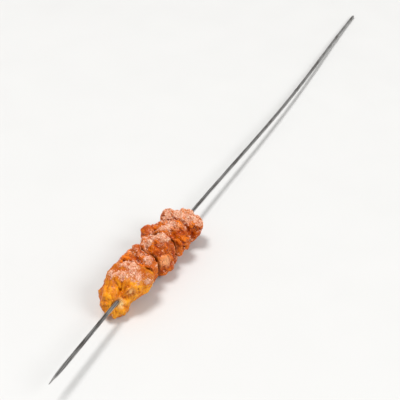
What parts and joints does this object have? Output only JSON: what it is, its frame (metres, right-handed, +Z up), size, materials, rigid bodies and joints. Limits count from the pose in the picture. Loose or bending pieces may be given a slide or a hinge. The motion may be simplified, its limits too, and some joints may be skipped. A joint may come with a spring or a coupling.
{
  "type": "lamb kebab skewer",
  "caption": "Uneven pieces of spiced grilled lamb and amber tail fat threaded on a long, thin, square steel skewer with a sharp point, lying on small flat spots.",
  "frame": {"origin": "bottom centre of the bounding box, on the surface that the skewer lies on", "axes": "+X along the skewer from its point to its blunt end, +Z up"},
  "size_m": [0.42, 0.0246, 0.0189],
  "materials": {
    "skewer_steel": "drawn steel, dull and a little smoke-stained",
    "amber_fat": "glossy grilled tail fat, amber, with a crumbly spiced top",
    "spiced_lamb": "browned orange-red lamb, moist and rough, dusted with pale spice crumbs"
  },
  "bodies": {
    "root": {"skewer": "skewer_steel", "tail_fat_front": "amber_fat", "lamb_small": "spiced_lamb", "lamb_large": "spiced_lamb", "lamb_wide": "spiced_lamb", "lamb_rear": "spiced_lamb"}
  },
  "joints": []
}
